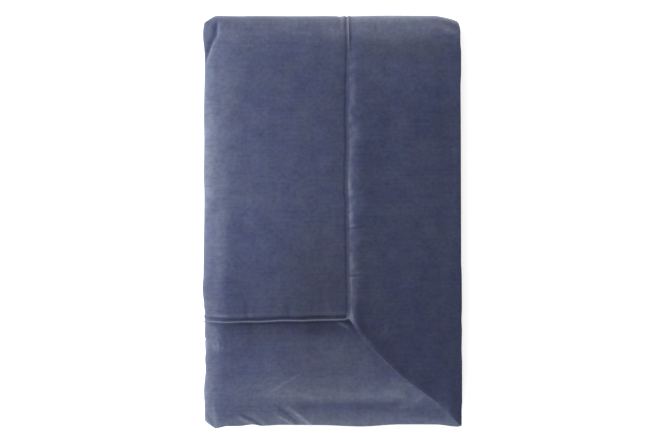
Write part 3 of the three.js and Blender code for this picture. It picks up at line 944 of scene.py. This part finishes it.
STRIP_COLUMNS = ("name", "node", "edge", "cross_step", "run_step")
STRIPS = [
    ("border_right_velvet", "border_right", "right", 5.0, 2.6),
    ("border_foot_velvet", "border_foot", "foot", 3.5, 3.5),
    ("border_left_velvet", "border_left", "left", 22.0, 22.0),
    ("border_head_velvet", "border_head", "head", 22.0, 22.0),
]
for row in STRIPS:
    strip = dict(zip(STRIP_COLUMNS, row))
    beside = strip["edge"] in ("right", "left")
    wide, other = (SIDE_BORDER, END_BORDER) if beside else (END_BORDER, SIDE_BORDER)
    span, length = (SPREAD_WIDTH, SPREAD_LENGTH) if beside else (SPREAD_LENGTH, SPREAD_WIDTH)
    pleats = along if beside else across
    fold_steps = STACK_FOLD_STEPS if beside else FOLD_STEPS
    width = wide - SEAM_GAP / 2
    middle_lines = np.arange(MIDDLE_FROM_HEM, width - MIDDLE_TO_SEAM, strip["cross_step"])
    seam_band = np.arange(SEAM_BAND, SEAM_STEPS[-1] + 1, -SEAM_BAND_STEP)
    seam_lines = np.concatenate([seam_band, SEAM_STEPS[::-1]])
    across_strip = np.concatenate([HEM_STEPS, middle_lines, width - seam_lines])
    if strip["edge"] in ("left", "head"):
        across_strip = (span - across_strip)[::-1]
    along_strip = pleats.lines(0, length, MITRE_STEPS, strip["run_step"], fold_steps)
    lay_out = strip_layout(strip["edge"], width, other / wide, span, length)
    columns, rows = (across_strip, along_strip) if beside else (along_strip, across_strip)
    piece = cloth_mesh(strip["name"], columns, rows, lay_out)
    piece.data.materials.append(velvet)
    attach(piece, "root")
    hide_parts(strip["node"])

# Mitre stitches
# Short hand stitches in polyester thread that close the mitre where the right and foot strips meet.
# Each bridges the join like the rung of a ladder and sinks a little into the pile.
STITCH_PITCH = 5.0
STITCH_LENGTH = 3.2
STITCH_SLANT = 0.25
STITCH_SEED = 31
THREAD = 0.9

# The row keeps clear of the hem and of the welt's turn, and its line is drawn through these steps.
ROW_STARTS = 10.0
ROW_ENDS = END_BORDER - 26.0
ROW_STEP = 4.0


def stitch_tree():
    """A node tree that sets stitches square across the line of points it is given."""
    group = bpy.data.node_groups.new("mitre_stitching", "GeometryNodeTree")
    sockets = (
        ("Geometry", "INPUT", "NodeSocketGeometry"),
        ("Pitch", "INPUT", "NodeSocketFloat"),
        ("Stitch Length", "INPUT", "NodeSocketFloat"),
        ("Thread", "INPUT", "NodeSocketFloat"),
        ("Finish", "INPUT", "NodeSocketMaterial"),
        ("Geometry", "OUTPUT", "NodeSocketGeometry"),
    )
    for name, side, kind in sockets:
        group.interface.new_socket(name=name, in_out=side, socket_type=kind)
    given = add_node(group, "NodeGroupInput").outputs
    line = add_node(group, "GeometryNodeMeshToCurve", {"Mesh": given["Geometry"]})
    places = add_node(
        group,
        "GeometryNodeCurveToPoints",
        {"Curve": line.outputs["Curve"], "Length": given["Pitch"]},
        mode="LENGTH",
    )
    across_join = add_node(
        group,
        "FunctionNodeAlignRotationToVector",
        {"Vector": places.outputs["Tangent"]},
        axis="Y",
        pivot_axis="Z",
    )
    # The third and fourth inputs are the least and the most of a random number.
    slant = add_node(
        group,
        "FunctionNodeRandomValue",
        {2: -STITCH_SLANT, 3: STITCH_SLANT, "Seed": STITCH_SEED},
        data_type="FLOAT",
    )
    turned = add_node(group, "ShaderNodeCombineXYZ", {"Z": slant.outputs[1]})
    leaning = add_node(
        group,
        "FunctionNodeRotateRotation",
        {"Rotation": across_join.outputs["Rotation"], "Rotate By": turned.outputs["Vector"]},
    )
    size = add_node(
        group,
        "ShaderNodeCombineXYZ",
        {"X": given["Stitch Length"], "Y": given["Thread"], "Z": given["Thread"]},
    )
    bead = add_node(group, "GeometryNodeMeshIcoSphere", {"Radius": 0.5, "Subdivisions": 2})
    stitches = add_node(
        group,
        "GeometryNodeInstanceOnPoints",
        {
            "Points": places.outputs["Points"],
            "Instance": bead.outputs["Mesh"],
            "Rotation": leaning.outputs["Rotation"],
            "Scale": size.outputs["Vector"],
        },
    )
    real = add_node(group, "GeometryNodeRealizeInstances", {"Geometry": stitches.outputs["Instances"]})
    finished = add_node(
        group,
        "GeometryNodeSetMaterial",
        {"Geometry": real.outputs["Geometry"], "Material": given["Finish"]},
    )
    add_node(group, "NodeGroupOutput", {"Geometry": finished.outputs["Geometry"]})
    return group


# Spun polyester sewing thread dyed to match: its twist shows as a faint light and dark band.
thread = bpy.data.materials.new("polyester_thread")
thread.use_nodes = True
tree = thread.node_tree
tree.nodes.clear()
spot = add_node(tree, "ShaderNodeTexCoord").outputs["Object"]
twist = add_node(tree, "ShaderNodeTexNoise", {"Vector": spot, "Scale": 900.0, "Detail": 1.0})
strand = add_node(tree, "ShaderNodeValToRGB", {"Fac": twist.outputs["Fac"]})
strand.color_ramp.elements[0].color = linear("#5a617b")
strand.color_ramp.elements[1].color = linear("#858ca3")
spun = add_node(
    tree,
    "ShaderNodeBsdfPrincipled",
    {"Base Color": strand.outputs["Color"], "Roughness": 0.6, "IOR": 1.54, "Specular IOR Level": 0.4},
)
add_node(tree, "ShaderNodeOutputMaterial", {"Surface": spun.outputs["BSDF"]})

from_hem = np.arange(ROW_STARTS, ROW_ENDS, ROW_STEP)
on_mitre = from_hem * SIDE_BORDER / END_BORDER
lofts = strip_loft(from_hem, END_BORDER - from_hem, np.zeros_like(from_hem), 1.0)
points = np.column_stack(folded(on_mitre, from_hem, lofts / 2)[:3]) * 0.001
guide_mesh = bpy.data.meshes.new("mitre_line")
guide_mesh.from_pydata(points, [(i, i + 1) for i in range(len(points) - 1)], [])
guide = bpy.data.objects.new("mitre_guide", guide_mesh)
bpy.context.scene.collection.objects.link(guide)
sewing = guide.modifiers.new("sewing", "NODES")
sewing.node_group = stitch_tree()
settings = {
    "Pitch": STITCH_PITCH / 1000,
    "Stitch Length": STITCH_LENGTH / 1000,
    "Thread": THREAD / 1000,
    "Finish": thread,
}
for socket in sewing.node_group.interface.items_tree:
    if socket.in_out == "INPUT" and socket.name in settings:
        sewing[socket.identifier] = settings[socket.name]
evaluated = guide.evaluated_get(bpy.context.evaluated_depsgraph_get())
sewn_mesh = bpy.data.meshes.new_from_object(evaluated)
guide.modifiers.remove(sewing)
bpy.data.objects.remove(guide)
sewn_mesh.name = "mitre_stitches"
sewn_mesh.shade_smooth()
mitre_stitches = bpy.data.objects.new("mitre_stitches", sewn_mesh)
bpy.context.scene.collection.objects.link(mitre_stitches)
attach(mitre_stitches, "root")

# Floor, light and camera
# A white table under the pile, a broad window of light to the left with weaker fills above and at
# both ends, and the camera straight above, so that the pile fills the frame as in the photograph.
TABLE_SIZE = 14
bpy.ops.mesh.primitive_plane_add(size=TABLE_SIZE, location=(0, 0, 0))
floor = bpy.context.object
floor.name = "white_table"
paper = bpy.data.materials.new("matt_white_board")
paper.use_nodes = True
paper.node_tree.nodes.clear()
board = add_node(
    paper.node_tree,
    "ShaderNodeBsdfPrincipled",
    {
        "Base Color": linear("#fafafa"),
        "Roughness": 0.9,
        "Specular IOR Level": 0.1,
        "Emission Color": linear("#ffffff"),
        "Emission Strength": 0.55,
    },
)
add_node(paper.node_tree, "ShaderNodeOutputMaterial", {"Surface": board.outputs["BSDF"]})
floor.data.materials.append(paper)

room = bpy.data.worlds.new("even_room_light")
room.use_nodes = True
room.node_tree.nodes["Background"].inputs["Color"].default_value = (1, 1, 1, 1)
room.node_tree.nodes["Background"].inputs["Strength"].default_value = 0.25
bpy.context.scene.world = room

LIGHT_COLUMNS = ("name", "place", "size", "watts", "colour")
LIGHTS = [
    ("left_window", (-2.8, 0.5, 1.5), 2.0, 128, "#ffffff"),
    ("overhead_panel", (-0.6, 0.2, 5.2), 3.0, 96, "#ffffff"),
    ("top_fill", (0.2, 2.9, 1.5), 2.0, 15, "#ffe9cc"),
    ("foot_fill", (-0.2, -2.9, 1.5), 2.0, 26, "#ffffff"),
]
for row in LIGHTS:
    lamp = dict(zip(LIGHT_COLUMNS, row))
    data = bpy.data.lights.new(lamp["name"], "AREA")
    data.size = lamp["size"]
    data.energy = lamp["watts"]
    data.color = linear(lamp["colour"])[:3]
    light = bpy.data.objects.new(lamp["name"], data)
    light.location = lamp["place"]
    light.rotation_mode = "QUATERNION"
    light.rotation_quaternion = (-light.location).to_track_quat("-Z", "Y")
    bpy.context.scene.collection.objects.link(light)

# The width of the frame at the top of the pile, and where its middle lies along the pile
FRAME_WIDTH = 1.440
FRAME_MIDDLE = -0.0035
lens = bpy.data.cameras.new("straight_above")
lens.lens = 100
lens.sensor_width = 36
camera = bpy.data.objects.new("straight_above", lens)
camera_height = PILE_HEIGHT / 1000 + FRAME_WIDTH * lens.lens / lens.sensor_width
camera.location = (0.0, FRAME_MIDDLE, camera_height)
bpy.context.scene.collection.objects.link(camera)
bpy.context.scene.camera = camera
bpy.context.scene.view_settings.view_transform = "Standard"
